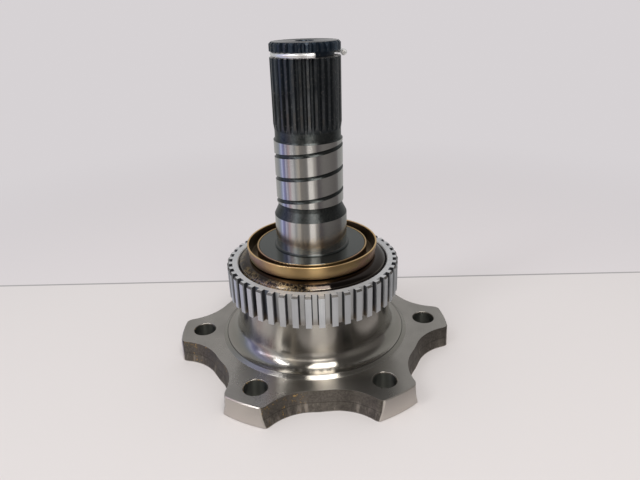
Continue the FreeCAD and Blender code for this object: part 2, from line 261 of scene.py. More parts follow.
class WireRingSettings(bpy.types.PropertyGroup):
    """Size and finish of the retaining ring."""

    wire: length("Wire", "Diameter of the spring wire", WIRE_HIGH.z - WIRE_LOW.z + FLATS_LOSS)
    gap: angle("Gap", "Opening between the wire's ends", 63.0)
    gap_direction: angle("Gap direction", "Middle of the opening, from +X", -50.6)
    end_round: length("End round", "Broken edge of the wire's ends", 0.00022)
    bright: colour("Bright wire", "Drawn spring wire", (0.90, 0.90, 0.90))
    speck: colour("Specks", "Dark specks of phosphate and oil", (0.05, 0.05, 0.06))
    roughness: factor("Roughness", "Gloss of the wire", 0.22)


class StageSettings(bpy.types.PropertyGroup):
    """Camera, floor, backdrop and lights."""

    camera_distance: length("Camera distance", "From the axis to the camera, level", 0.24962)
    camera_height: length("Camera height", "Camera above the joint face", 0.16848)
    camera_turn: angle("Camera turn", "Camera's place round the axis, from -Y", -1.6)
    yaw: angle("Yaw", "Camera turned from the axis", -2.533)
    pitch: angle("Pitch", "Camera tilted down", 23.574)
    roll: angle("Roll", "Camera rolled", -1.754)
    focal_length: FloatProperty(name="Focal length", description="Lens in mm", default=30.60, unit="CAMERA")
    floor: colour("Floor", "Pale table", (0.69, 0.66, 0.66))
    edge_tone: colour("Edge tone", "Line along the table's back edge", (0.24, 0.24, 0.245))
    backdrop: colour("Backdrop", "Pale wall", (0.675, 0.645, 0.660))
    edge_place: length("Table edge", "Y of the table's back edge at X = 0", 0.0722)
    edge_slope: FloatProperty(name="Edge slope", description="Slope of the back edge", default=-0.0635)
    even_light: colour("Even light", "Light of the room on dull surfaces", (0.60, 0.60, 0.61))
    far_floor: colour("Far floor", "What metal sees on the far floor ahead", (0.15, 0.14, 0.13))
    low_wall: colour("Low wall", "What metal sees low on the wall ahead", (0.14, 0.13, 0.12))
    ceiling: colour("Ceiling", "What metal sees overhead", (0.09, 0.085, 0.08))
    wall_gain: FloatProperty(name="Wall gain", description="Added light of the lit wall", default=4.6)


class Graph:
    """Adds nodes to a material or world and links them."""

    def __init__(self, tree):
        self.tree = tree
        tree.nodes.clear()

    def node(self, kind, **settings):
        """A node of a kind with its own settings."""
        made = self.tree.nodes.new(kind)
        for key, value in settings.items():
            setattr(made, key, value)
        return made

    def feed(self, socket, value):
        """Link a socket or set a plain value."""
        if isinstance(value, bpy.types.NodeSocket):
            self.tree.links.new(value, socket)
        elif hasattr(value, "__len__") and len(value) == 3 and socket.type == "RGBA":
            socket.default_value = (*value, 1.0)
        else:
            socket.default_value = value

    def maths(self, operation, *values):
        """One step of arithmetic."""
        made = self.node("ShaderNodeMath", operation=operation)
        for socket, value in zip(made.inputs, values):
            self.feed(socket, value)
        return made.outputs[0]

    def times(self, first, second):
        """Product of two numbers."""
        return self.maths("MULTIPLY", first, second)

    def minus(self, first, second):
        """Difference of two numbers."""
        return self.maths("SUBTRACT", first, second)

    def over(self, value, limit):
        """1 where a number is above a limit."""
        return self.maths("GREATER_THAN", value, limit)

    def under(self, value, limit):
        """1 where a number is below a limit."""
        return self.maths("LESS_THAN", value, limit)

    def opposite(self, mask):
        """1 where the mask is 0."""
        return self.minus(1.0, mask)

    def rise(self, value, start, end):
        """Smooth step: 0 below start, 1 above end."""
        made = self.node("ShaderNodeMapRange", interpolation_type="SMOOTHSTEP")
        for name, item in (("Value", value), ("From Min", start), ("From Max", end)):
            self.feed(made.inputs[name], item)
        return made.outputs["Result"]

    def spread(self, value, low, high, to_low, to_high):
        """Straight line from one range to another, clamped."""
        made = self.node("ShaderNodeMapRange", interpolation_type="LINEAR")
        names = ("Value", "From Min", "From Max", "To Min", "To Max")
        for name, item in zip(names, (value, low, high, to_low, to_high)):
            self.feed(made.inputs[name], item)
        return made.outputs["Result"]

    def band(self, value, low, high, soft):
        """1 between low and high, with soft edges."""
        return self.times(self.rise(value, low - soft, low + soft),
                          self.opposite(self.rise(value, high - soft, high + soft)))

    def both(self, *masks):
        """Where all the masks meet."""
        joined = masks[0]
        for mask in masks[1:]:
            joined = self.times(joined, mask)
        return joined

    def blend(self, share, first, second):
        """Mix of two numbers."""
        made = self.node("ShaderNodeMix", data_type="FLOAT")
        for index, value in zip((0, 2, 3), (share, first, second)):
            self.feed(made.inputs[index], value)
        return made.outputs[0]

    def tint(self, share, first, second, how="MIX"):
        """Mix of two colours."""
        made = self.node("ShaderNodeMix", data_type="RGBA", blend_type=how)
        for index, value in zip((0, 6, 7), (share, first, second)):
            self.feed(made.inputs[index], value)
        return made.outputs[2]

    def shade(self, share, tone, part):
        """A colour that turns to a part of itself."""
        return self.tint(share, tone, scaled(tone, part))

    def join(self, x, y, z):
        """A vector from three numbers."""
        made = self.node("ShaderNodeCombineXYZ")
        for socket, value in zip(made.inputs, (x, y, z)):
            self.feed(socket, value)
        return made.outputs[0]

    def noise(self, place, scale, detail, rough=0.55, distortion=0.0):
        """Cloudy noise about 0.5."""
        made = self.node("ShaderNodeTexNoise")
        self.feed(made.inputs["Vector"], place)
        for name, value in (("Scale", scale), ("Detail", detail), ("Roughness", rough),
                            ("Distortion", distortion)):
            made.inputs[name].default_value = value
        return made.outputs["Fac"]

    def bump(self, height, distance):
        """Bump from a height in units of distance."""
        made = self.node("ShaderNodeBump")
        made.inputs["Distance"].default_value = distance
        self.feed(made.inputs["Height"], height)
        return made.outputs["Normal"]


class Cylindrical:
    """Object coordinates of a piece as height, radius and angle about the axis."""

    def __init__(self, graph):
        self.place = graph.node("ShaderNodeTexCoord").outputs["Object"]
        split = graph.node("ShaderNodeSeparateXYZ")
        graph.feed(split.inputs[0], self.place)
        self.x, self.y, self.z = split.outputs
        squares = graph.maths("ADD", graph.times(self.x, self.x), graph.times(self.y, self.y))
        self.radius = graph.maths("SQRT", squares)
        self.angle = graph.maths("ARCTAN2", self.y, self.x)


def new_material(name):
    """A node based material and its graph."""
    made = bpy.data.materials.new(name)
    made.use_nodes = True
    return made, Graph(made.node_tree)


def metal(graph, tone, roughness, normal, metallic=1.0, anisotropic=0.0):
    """Principled metal. Turning marks run round the axis, so its highlights stretch across them."""
    shader = graph.node("ShaderNodeBsdfPrincipled")
    for name, value in (("Base Color", tone), ("Roughness", roughness), ("Metallic", metallic),
                        ("Normal", normal)):
        graph.feed(shader.inputs[name], value)
    if anisotropic:
        shader.inputs["Anisotropic"].default_value = anisotropic
        shader.inputs["Anisotropic Rotation"].default_value = QUARTER_TURN
        along = graph.node("ShaderNodeTangent", direction_type="RADIAL", axis="Z")
        graph.feed(shader.inputs["Tangent"], along.outputs[0])
    graph.feed(graph.node("ShaderNodeOutputMaterial").inputs["Surface"], shader.outputs[0])


def add_object(name, data):
    """A new object in the scene."""
    made = bpy.data.objects.new(name, data)
    bpy.context.scene.collection.objects.link(made)
    return made


def dress(piece, material):
    """Give a piece one material, through its slots."""
    if piece.material_slots:
        for slot in piece.material_slots:
            slot.material = material
    else:
        piece.data.materials.append(material)


def bolt_hole_distance(graph, spot):
    """Distance from the middle of the nearest bolt hole, by turning every lobe onto the first."""
    pitch = 2 * math.pi / BOLT_COUNT
    lobe = graph.times(graph.maths("ROUND", graph.maths("DIVIDE", spot.angle, pitch)), pitch)
    turned = graph.minus(spot.angle, lobe)
    along = graph.minus(graph.times(spot.radius, graph.maths("COSINE", turned)), BOLT_CIRCLE)
    across = graph.times(spot.radius, graph.maths("SINE", turned))
    return graph.maths("SQRT", graph.maths("ADD", graph.times(along, along), graph.times(across, across)))


class Marks(Cylindrical):
    """Clouds, specks and turning marks that the shaft's finishes share.

    Lines run round upright surfaces, and rings run round flat ones.
    """

    def __init__(self, graph):
        super().__init__(graph)
        self.cloud = graph.noise(self.place, CLOUD_SCALE, 4.0)
        self.bloom = graph.noise(self.place, BLOOM_SCALE, 4.0, 0.6, 0.6)
        self.speck = graph.noise(self.place, SPECK_SCALE, 3.0, 0.7)
        stacked = graph.join(graph.times(self.angle, 0.6), graph.times(self.z, TURNING_SCALE), 0.0)
        self.lines = graph.noise(stacked, 6.0, 3.0, 0.7)
        nested = graph.join(graph.times(self.radius, TURNING_SCALE), graph.times(self.angle, 0.5), 0.0)
        self.rings = graph.noise(nested, 4.0, 3.0, 0.7)
        facing = graph.node("ShaderNodeSeparateXYZ")
        graph.feed(facing.inputs[0], graph.node("ShaderNodeNewGeometry").outputs["True Normal"])
        self.upright = graph.under(graph.maths("ABSOLUTE", facing.outputs[2]), STEEPEST_UPRIGHT)


class Layers:
    """Finishes laid one over another: colour, roughness, relief and share of bare metal."""

    def __init__(self, graph, tone, roughness, relief):
        self.graph = graph
        self.tone, self.roughness, self.relief, self.metallic = tone, roughness, relief, 1.0

    def lay(self, mask, tone, roughness, relief=None, metallic=1.0):
        """Put one finish over what lies below, where the mask is 1."""
        graph = self.graph
        self.tone = graph.tint(mask, self.tone, tone)
        self.roughness = graph.blend(mask, self.roughness, roughness)
        self.metallic = graph.blend(mask, self.metallic, metallic)
        if relief is not None:
            self.relief = graph.blend(mask, self.relief, relief)


def turned_flange(graph, marks, zones, finish):
    """Turned flange top with painted shade at the front that dims its reflections, left off the streak where
    the highlight falls. It lies under all other finishes.
    """
    tone = graph.shade(graph.spread(marks.cloud, 0.35, 0.7, 0.0, 1.0), finish.flange, 0.80)
    tone = graph.tint(graph.rise(marks.speck, 0.58, 0.75), tone, scaled(finish.flange, 0.7))
    ringed = graph.spread(marks.rings, 0.3, 0.75, 0.0, 0.35)
    tone = graph.tint(ringed, tone, scaled(finish.flange, 1.18))
    # Painted shade: the flange's reflections are dimmed at the front, but not along the highlight streak.
    highlight_streak = graph.band(marks.x, 0.0, 0.009, 0.003)
    shaded = graph.both(graph.rise(marks.y, zones.painted_shade_front, zones.painted_shade_front - 0.007),
                      graph.band(marks.x, -0.020, 0.034, 0.006), graph.opposite(highlight_streak), 0.75)
    tone = graph.tint(shaded, tone, scaled(finish.flange, 0.38))
    base = finish.flange_roughness
    roughness = graph.spread(marks.cloud, *MIDDLE, base, base + 0.07)
    return Layers(graph, tone, roughness, graph.times(marks.rings, 0.35))


def forged_skin(graph, marks, zones, finish):
    """Colour of the scallop walls: dark skin with drips, a parting line and rust flecks on the left."""
    tone = graph.shade(graph.spread(marks.speck, 0.35, 0.65, 0.0, 1.0), finish.forged, 0.55)
    drips = graph.noise(graph.join(graph.times(marks.x, 420.0), graph.times(marks.y, 420.0),
                                   graph.times(marks.z, 90.0)), 1.0, 3.0, 0.6)
    streaked = graph.both(graph.rise(drips, 0.50, 0.72), graph.rise(marks.z, zones.drip_top, zones.drip_foot))
    tone = graph.tint(streaked, tone, scaled(finish.forged, 1.9))
    parting = graph.band(marks.z, zones.parting - 0.0001, zones.parting + 0.0003, 0.0002)
    tone = graph.tint(graph.times(parting, 0.6), tone, scaled(finish.forged, 0.3))
    patches = graph.rise(graph.noise(marks.place, 160.0, 3.0), 0.46, 0.60)
    flecks = graph.both(graph.rise(marks.speck, 0.56, 0.64), patches, graph.rise(marks.x, -0.004, -0.012))
    return graph.tint(flecks, tone, finish.rust)


def lay_flange_edges(graph, marks, zones, finish, layers):
    """Scallop walls as forged, turned lobe ends and bolt holes with darker walls."""
    outermost = graph.rise(marks.radius, zones.flange_radius - 0.0006, zones.flange_radius - 0.0003)
    lobe_end = graph.both(outermost, graph.band(marks.z, 0.0, zones.flange_top, HAIR))
    edge = graph.both(graph.band(marks.z, 0.0003, zones.flange_top - 0.0001, HAIR), graph.opposite(lobe_end))
    layers.lay(edge, forged_skin(graph, marks, zones, finish), 0.52,
               graph.times(graph.maths("ADD", marks.speck, marks.cloud), 2.2), 0.6)
    end_tone = graph.shade(graph.spread(marks.lines, *MIDDLE, 0.0, 0.3), finish.lobe_end, 0.85)
    layers.lay(lobe_end, end_tone, 0.30, graph.times(marks.lines, 0.4), 0.85)
    # Darker tone on the walls of the bolt holes.
    hole = graph.both(graph.under(bolt_hole_distance(graph, marks), BOLT_HOLE + 0.00015),
                      graph.under(marks.z, zones.flange_top - 0.0005))
    layers.lay(hole, finish.hole, 0.38, marks.lines, 0.8)


def lay_hub(graph, marks, zones, finish, layers):
    """Turned hub with its fillet, the ledge's crest, and the heat tinted and stained shoulder with a painted
    highlight line beside the speed ring.
    """
    z, radius = marks.z, marks.radius
    hub = graph.both(graph.band(z, zones.flange_top + 0.0001, zones.hub_top + 0.0001, HAIR),
                     graph.opposite(graph.rise(radius, zones.fillet_radius, zones.fillet_radius + 0.002)))
    hub_tone = graph.shade(graph.spread(marks.lines, *MIDDLE, 0.0, 0.35), finish.turned, 0.82)
    layers.lay(hub, hub_tone, finish.turned_roughness, graph.times(marks.lines, 0.5))
    crest = graph.both(graph.band(radius, zones.ledge_radius - 0.0001, zones.ledge_radius + 0.0003, HAIR),
                       graph.band(z, zones.flange_top + 0.0008, zones.flange_top + 0.002, HAIR))
    layers.lay(crest, scaled(finish.turned, 0.35), 0.3)

    dome = graph.both(graph.rise(z, zones.hub_top, zones.hub_top + HAIR),
                      graph.under(z, zones.shoulder + 0.0001), graph.over(radius, zones.dome_radius))
    stain_edge = graph.rise(radius, zones.stain_radius, zones.stain_radius + 0.003)
    stained_side = graph.both(graph.rise(marks.x, 0.004, -0.012), stain_edge)
    stain = graph.both(graph.rise(marks.bloom, 0.42, 0.56), graph.rise(marks.speck, 0.42, 0.56), stained_side)
    dome_tone = graph.tint(graph.rise(marks.bloom, 0.45, 0.72), finish.dome, finish.dome_dark)
    dome_tone = graph.tint(graph.times(stain, 0.6), dome_tone, finish.stain)
    dome_roughness = graph.blend(stain, graph.spread(marks.bloom, 0.35, 0.7, 0.07, 0.12), 0.4)
    layers.lay(dome, dome_tone, dome_roughness, graph.times(marks.speck, 0.15))
    # Painted highlight: a thin light line on the shoulder just above the speed ring.
    beside_ring = graph.band(z, RING_HIGH.z + 0.00005, RING_HIGH.z + 0.00022, HAIR)
    layers.lay(graph.both(beside_ring, graph.over(radius, 0.03), 0.6), finish.brim_highlight, 0.25)


def lay_journals(graph, marks, zones, finish, layers):
    """Dark disc, scale in all recesses, the two ground bands and a painted shade line at the lower one's
    foot.
    """
    z, radius = marks.z, marks.radius
    disc = graph.both(graph.over(z, zones.shoulder + 0.0002), graph.under(radius, zones.disc_radius))
    disc_roughness = graph.spread(marks.cloud, *MIDDLE, 0.14, 0.22)
    layers.lay(disc, finish.disc, disc_roughness, graph.times(marks.rings, 0.4))
    tone = graph.tint(graph.spread(marks.cloud, *MIDDLE, 0.0, 1.0), finish.scale, finish.scale_pale)
    tone = graph.tint(graph.rise(marks.speck, 0.50, 0.74), tone, finish.scale_speck)
    tone = graph.tint(graph.rise(marks.speck, 0.46, 0.30), tone, finish.scale_pit)
    layers.lay(graph.over(z, zones.disc + 0.0001), tone, graph.spread(marks.speck, *MIDDLE, 0.34, 0.46),
               graph.times(marks.speck, 0.8))

    # Painted shade: a dark line at the lower journal's foot, where the undercut lies in shadow.
    foot = graph.band(z, zones.journal_start - 0.0001, zones.journal_start + 0.0001, HAIR)
    layers.lay(foot, scaled(finish.ground, 0.3), 0.2, marks.lines)
    tone = graph.shade(graph.spread(marks.lines, *MIDDLE, 0.0, 0.25), finish.ground, 0.86)
    base = finish.ground_roughness
    roughness = graph.spread(marks.lines, *MIDDLE, base - 0.02, base + 0.04)
    lower = graph.band(z, zones.journal_start, zones.journal_end, HAIR)
    above_groove = graph.over(radius, zones.bush_radius - 0.00007)
    upper = graph.both(graph.band(z, zones.bush_start, zones.bush_end, HAIR), above_groove)
    for band in (lower, upper):
        layers.lay(graph.both(band, marks.upright), tone, roughness, graph.times(marks.lines, 0.25))


def lay_spline(graph, marks, zones, finish, layers):
    """Blackened spline with worn tops, a blue tint at the end, a painted blue reflection on the left and
    dust, dark end face and a painted highlight on the groove's edge.
    """
    z = marks.z
    black = graph.rise(z, zones.spline_start - 0.0034, zones.spline_start - 0.0024)
    wear = graph.both(graph.rise(marks.radius, zones.spline_radius - 0.0004, zones.spline_radius - 0.0001),
                      graph.rise(marks.cloud, 0.35, 0.6), 0.75)
    worn = graph.tint(graph.rise(marks.bloom, 0.46, 0.60), finish.worn, finish.worn_warm)
    tone = graph.tint(wear, finish.phosphate, worn)
    # Painted reflection: the spline's left turns blue; the end past the groove has a blue tint.
    blue_reflection_left = graph.both(graph.rise(z, zones.blue_reflection_start, zones.blue_reflection_start + 0.012),
                           graph.rise(marks.x, -0.002, -0.012), 0.7)
    blue_tint_and_reflection = graph.maths("MAXIMUM", graph.rise(z, zones.groove_foot, zones.groove_foot + 0.001), blue_reflection_left)
    tone = graph.tint(graph.times(blue_tint_and_reflection, 0.7), tone, finish.blue_tint_and_reflection)
    tone = graph.tint(graph.times(graph.rise(marks.speck, 0.56, 0.70), 0.5), tone, finish.dust)
    roughness = graph.spread(marks.speck, *MIDDLE, 0.30, 0.44)
    layers.lay(black, tone, roughness, graph.times(marks.speck, 0.9), 0.6)
    layers.lay(graph.over(z, SHAFT_HIGH.z - 0.00002), finish.end_face, 0.24, graph.times(marks.rings, 0.3))
    # Painted highlight: a thin band of bright steel on the groove's lower edge.
    shoulder = graph.band(z, zones.groove_foot - 0.00005, zones.groove_foot + 0.00004, 0.00002)
    layers.lay(shoulder, finish.ground, 0.3)


def shaft_material(zones, finish):
    """Steel of the shaft: each height and radius has the finish that its last tool or fire left."""
    made, graph = new_material("shaft_steel")
    marks = Marks(graph)
    layers = turned_flange(graph, marks, zones, finish)
    for lay_part in (lay_flange_edges, lay_hub, lay_journals, lay_spline):
        lay_part(graph, marks, zones, finish, layers)
    normal = graph.bump(layers.relief, 0.000012)
    metal(graph, layers.tone, layers.roughness, normal, layers.metallic, anisotropic=0.93)
    return made


def slot_tone(graph, spot, finish):
    """Colour in the speed ring's slots: painted shade on the walls and corners and on the floors, and painted
    light on the floors at the front.
    """
    pitch = 2 * math.pi / finish.teeth
    step = graph.maths("DIVIDE", graph.minus(spot.angle, finish.clocking), pitch)
    from_tooth = graph.maths("ABSOLUTE", graph.minus(step, graph.maths("ROUND", step)))
    from_slot = graph.minus(0.5, from_tooth)
    across = graph.times(spot.radius, graph.times(from_slot, pitch))
    # Painted light: the slots' floors at the front are made pale.
    painted_light_front = graph.both(graph.band(spot.x, -0.018, 0.032, 0.002), graph.rise(spot.y, 0.0, -0.01))
    tone = graph.tint(painted_light_front, finish.slot, finish.slot_painted_light)
    # Painted shade along the slots' walls and corners.
    wall = graph.rise(across, finish.slot_half - 0.0007, finish.slot_half - 0.0004)
    return graph.tint(wall, tone, finish.slot_wall_shade)


def zinc_material(finish):
    """Bright zinc with fine upright machining lines, slots with painted shade and painted light, and painted
    shade on the chamfer.
    """
    made, graph = new_material("bright_zinc")
    spot = Cylindrical(graph)
    upright = graph.join(graph.times(spot.angle, 260.0), graph.times(spot.z, 25.0), 0.0)
    lines = graph.noise(upright, 1.0, 3.0, 0.7)
    cloud = graph.noise(spot.place, 90.0, 3.0)
    tone = graph.tint(graph.spread(lines, 0.3, 0.72, 0.0, 0.8), finish.zinc, finish.tarnish)
    tone = graph.tint(graph.spread(cloud, 0.4, 0.75, 0.0, 0.5), tone, finish.tarnish)
    in_slot = graph.both(graph.under(spot.z, RING_HIGH.z - 0.00005),
                         graph.rise(spot.radius, RING_HIGH.x - 0.0002, RING_HIGH.x - 0.0012),
                         graph.over(spot.radius, finish.slot_floor - 0.0002))
    tone = graph.tint(in_slot, tone, slot_tone(graph, spot, finish))
    # The slots' floors turn browner towards their feet.
    foot = graph.rise(spot.z, RING_LOW.z + 0.0045, RING_LOW.z + 0.0005)
    tone = graph.tint(graph.both(in_slot, foot, 0.5), tone, finish.slot_foot)
    # Painted shade: the teeth's top chamfer is darkened.
    corner = graph.maths("ADD", spot.radius, spot.z)
    broken = graph.over(corner, RING_HIGH.x + RING_HIGH.z - finish.chamfer - 0.00003)
    tone = graph.tint(broken, tone, finish.broken)
    roughness = graph.spread(cloud, *MIDDLE, finish.roughness - 0.04, finish.roughness + 0.08)
    metal(graph, tone, roughness, graph.bump(lines, 0.00001), metallic=0.5)
    return made


def chromate_material(settings):
    """Yellow chromate over zinc, with faint pink and green drifts round the rim, painted shade inside the
    channel and a painted highlight along the rim.
    """
    made, graph = new_material("yellow_chromate")
    spot = Cylindrical(graph)
    round_rim = graph.join(spot.x, spot.y, graph.times(spot.z, 3.0))
    drift = graph.noise(round_rim, 34.0, 2.0)
    patch = graph.noise(round_rim, 70.0, 3.0)
    lines = graph.noise(graph.join(spot.angle, graph.times(spot.z, 2200.0), 0.0), 1.0, 2.0)
    tone = graph.tint(graph.rise(drift, 0.50, 0.68), settings.gold, settings.pink)
    tone = graph.tint(graph.rise(patch, 0.56, 0.72), tone, settings.green)
    lean = graph.spread(spot.z, DEFLECTOR_LOW.z + settings.bend_radius, DEFLECTOR_HIGH.z, 0.0, settings.flare)
    wall_middle = graph.maths("ADD", lean, DEFLECTOR_HIGH.x - settings.flare - settings.wall / 2)
    channel_radius = DEFLECTOR_HIGH.x - settings.flare - settings.wall - settings.channel
    # Painted shade: the inside of the channel is darkened.
    inside = graph.both(graph.under(spot.radius, wall_middle), graph.under(spot.z, DEFLECTOR_HIGH.z - 0.0003),
                        graph.rise(spot.radius, channel_radius - 0.0002, channel_radius + 0.0002))
    tone = graph.tint(inside, tone, settings.brown)
    # Painted highlight: a lighter gold band along the top rim.
    rim = graph.rise(spot.z, DEFLECTOR_HIGH.z - 0.0004, DEFLECTOR_HIGH.z - 0.00015)
    tone = graph.tint(rim, tone, scaled(settings.gold, 1.5))
    roughness = graph.spread(patch, *MIDDLE, settings.roughness - 0.04, settings.roughness + 0.08)
    metal(graph, tone, roughness, graph.bump(lines, 0.000008), anisotropic=0.5)
    return made


def wire_material(settings):
    """Bright drawn wire with a few dark specks of phosphate and oil."""
    made, graph = new_material("bright_wire")
    spot = Cylindrical(graph)
    specks = graph.rise(graph.noise(spot.place, 700.0, 2.0), 0.64, 0.70)
    patch = graph.rise(graph.noise(spot.place, 90.0, 2.0), 0.52, 0.60)
    tone = graph.tint(graph.both(specks, patch), settings.bright, settings.speck)
    drawn = graph.join(graph.times(spot.angle, 2.0), graph.times(spot.z, DRAWING_SCALE),
                       graph.times(spot.radius, DRAWING_SCALE))
    scratch = graph.noise(drawn, 1.0, 2.0)
    roughness = graph.spread(scratch, *MIDDLE, settings.roughness - 0.04, settings.roughness + 0.06)
    metal(graph, tone, roughness, graph.bump(scratch, 0.000006), metallic=0.7)
    return made


def grid_faces(rows, columns, wrap_rows, wrap_columns):
    """Corner numbers of the quads of a grid, with either direction closed on itself."""
    across = np.arange(columns if wrap_columns else columns - 1)
    down = np.arange(rows if wrap_rows else rows - 1)
    row, column = np.meshgrid(down, across, indexing="ij")
    next_row, next_column = (row + 1) % rows, (column + 1) % columns
    corners = (row * columns + column, row * columns + next_column,
               next_row * columns + next_column, next_row * columns + column)
    return np.stack(corners, -1).reshape(-1, 4)


def make_mesh(name, points, faces, smooth_angle):
    """A mesh object at the origin from points and quads, smooth but for edges sharper than an angle."""
    mesh = bpy.data.meshes.new(name)
    mesh.from_pydata(points.tolist(), [], faces.tolist())
    mesh.validate()
    mesh.shade_smooth()
    mesh.set_sharp_from_angle(angle=smooth_angle)
    return add_object(name, mesh)


def turned_surface(profile, steps):
    """Points (radius cos u, radius sin u, height) of a closed profile turned about the axis."""
    turn = np.linspace(0, 2 * np.pi, steps, endpoint=False)[:, None]
    radius, height = profile[:, 0][None, :], profile[:, 1][None, :]
    points = np.stack((radius * np.cos(turn), radius * np.sin(turn), height + 0 * turn), -1)
    return points.reshape(-1, 3), grid_faces(steps, len(profile), True, True)


def arc_points(centre, radius, start, end, count):
    """Points centre + radius (cos a, sin a), with a going evenly from start to end in degrees."""
    turn = np.radians(np.linspace(start, end, count))
    return np.stack((centre[0] + radius * np.cos(turn), centre[1] + radius * np.sin(turn)), -1)


def deflector_profile(settings):
    """Half section of the pressed channel: plain inner wall, flat floor, two bends and a flared outer wall.

    Straight stretches join the bends, which are arcs of the bend's outside radius and of that less the wall.
    The cut edges are half rounds of a quarter of the wall.
    """
    wall, bend = settings.wall, settings.bend_radius
    low, high = DEFLECTOR_LOW.z, DEFLECTOR_HIGH.z
    outer = DEFLECTOR_HIGH.x - settings.flare
    inner = outer - 2 * wall - settings.channel
    rim, inner_top = DEFLECTOR_HIGH.x, low + settings.inner_height
    edge = wall / 4
    centre = (outer - bend, low + bend)
    return np.concatenate((
        [(inner, low)],
        arc_points(centre, bend, -90, 0, 9),
        arc_points((rim - edge, high - edge), edge, 0, 90, 4),
        arc_points((rim - wall + edge, high - edge), edge, 90, 180, 4),
        arc_points(centre, bend - wall, 0, -90, 7),
        [(inner + wall, low + wall)],
        arc_points((inner + wall - edge, inner_top - edge), edge, 0, 90, 4),
        arc_points((inner + edge, inner_top - edge), edge, 90, 180, 4),
    ))


def wire_surface(settings, rows, columns):
    """Round wire along an arc: circle (c cos v, c sin v) carried at the ring's radius about its centre.

    The angle u runs over the ring less its gap. Near each end the section shrinks by the broken edge.
    """
    wire = settings.wire / 2
    outer = (WIRE_HIGH.y - WIRE_LOW.y) / 2
    ring = outer - wire
    middle = Vector((WIRE_LOW.x + outer, 0, (WIRE_LOW.z + WIRE_HIGH.z) / 2))
    start = settings.gap_direction + settings.gap / 2
    sweep = 2 * math.pi - settings.gap
    turn_back = settings.end_round / ring
    steps = np.concatenate(([0, 0, turn_back * 0.3], np.linspace(turn_back, sweep - turn_back, rows - 6),
                            [sweep - turn_back * 0.3, sweep, sweep]))[:, None]
    shrink = np.ones(rows)
    shrink[[0, -1]] = 0.0
    shrink[[1, -2]] = 1 - settings.end_round / wire
    shrink[[2, -3]] = 1 - 0.3 * settings.end_round / wire
    section = np.linspace(0, 2 * np.pi, columns, endpoint=False)[None, :]
    reach = ring + wire * shrink[:, None] * np.cos(section)
    height = middle.z + wire * shrink[:, None] * np.sin(section)
    points = np.stack((middle.x + reach * np.cos(start + steps), reach * np.sin(start + steps), height), -1)
    return points.reshape(-1, 3), grid_faces(rows, columns, False, True)


def outward(piece):
    """Merge doubled points and turn every face outwards."""
    work = bmesh.new()
    work.from_mesh(piece.data)
    bmesh.ops.remove_doubles(work, verts=work.verts, dist=1e-7)
    bmesh.ops.dissolve_degenerate(work, edges=work.edges, dist=1e-8)
    bmesh.ops.recalc_face_normals(work, faces=work.faces)
    work.to_mesh(piece.data)
    work.free()


class STUBSHAFT_OT_shaft(bpy.types.Operator):
    """Give the forged shaft its ground, turned, forged and blackened finishes"""

    bl_idname = "stub_shaft.finish_shaft"
    bl_label = "Finish Shaft"

    def execute(self, context):
        scene = context.scene
        dress(frame["nodes"]["stub_shaft"], shaft_material(scene.stub_shaft_zones, scene.stub_shaft_finish))
        return {"FINISHED"}


class STUBSHAFT_OT_speed_ring(bpy.types.Operator):
    """Give the toothed speed ring its bright zinc plate"""

    bl_idname = "stub_shaft.finish_speed_ring"
    bl_label = "Finish Speed Ring"

    def execute(self, context):
        dress(frame["nodes"]["speed_ring"], zinc_material(context.scene.stub_shaft_ring))
        return {"FINISHED"}


class STUBSHAFT_OT_deflector(bpy.types.Operator):
    """Press the dust deflector with round bends and edges, in yellow chromate"""

    bl_idname = "stub_shaft.make_deflector"
    bl_label = "Make Dust Deflector"

    def execute(self, context):
        settings = context.scene.stub_shaft_deflector
        points, faces = turned_surface(deflector_profile(settings), DEFLECTOR_STEPS)
        piece = make_mesh("deflector_sheet", points, faces, DEFLECTOR_SHARP)
        outward(piece)
        dress(piece, chromate_material(settings))
        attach(piece, "shaft")
        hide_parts("dust_deflector")
        return {"FINISHED"}


class STUBSHAFT_OT_wire_ring(bpy.types.Operator):
    """Bend the retaining ring from round bright wire"""

    bl_idname = "stub_shaft.make_wire_ring"
    bl_label = "Make Retaining Ring"

    def execute(self, context):
        settings = context.scene.stub_shaft_wire
        points, faces = wire_surface(settings, WIRE_ROWS, WIRE_COLUMNS)
        piece = make_mesh("retaining_wire", points, faces, WIRE_SHARP)
        outward(piece)
        dress(piece, wire_material(settings))
        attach(piece, "retaining_ring")
        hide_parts("retaining_ring")
        return {"FINISHED"}


def place_camera(stage):
    """Camera at the photograph's place: turned about the axis, then tilted down and rolled."""
    data = bpy.data.cameras.new("photo_camera")
    data.sensor_width = 36
    data.lens = stage.focal_length
    data.clip_start = 0.01
    camera = add_object("photo_camera", data)
    yaw, pitch, roll = stage.yaw, stage.pitch, stage.roll
    forward = Vector((-math.sin(yaw) * math.cos(pitch), math.cos(yaw) * math.cos(pitch), -math.sin(pitch)))
    right = Vector((math.cos(yaw), math.sin(yaw), 0))
    up = right.cross(forward)
    rolled_right = math.cos(roll) * right + math.sin(roll) * up
    rolled_up = math.cos(roll) * up - math.sin(roll) * right
    turn = Matrix((rolled_right, rolled_up, -forward)).transposed().to_4x4()
    place = Vector((stage.camera_distance * math.sin(stage.camera_turn),
                    -stage.camera_distance * math.cos(stage.camera_turn), stage.camera_height))
    camera.matrix_world = Matrix.Translation(place) @ turn
    bpy.context.scene.camera = camera


def emission(graph, tone):
    """Light of a plain colour at strength 1."""
    glow = graph.node("ShaderNodeEmission")
    graph.feed(glow.inputs["Color"], tone)
    return glow.outputs[0]


def mix_shaders(graph, share, first, second):
    """Mix of two shaders."""
    made = graph.node("ShaderNodeMixShader")
    for socket, value in zip(made.inputs, (share, first, second)):
        graph.feed(socket, value)
    return made.outputs[0]


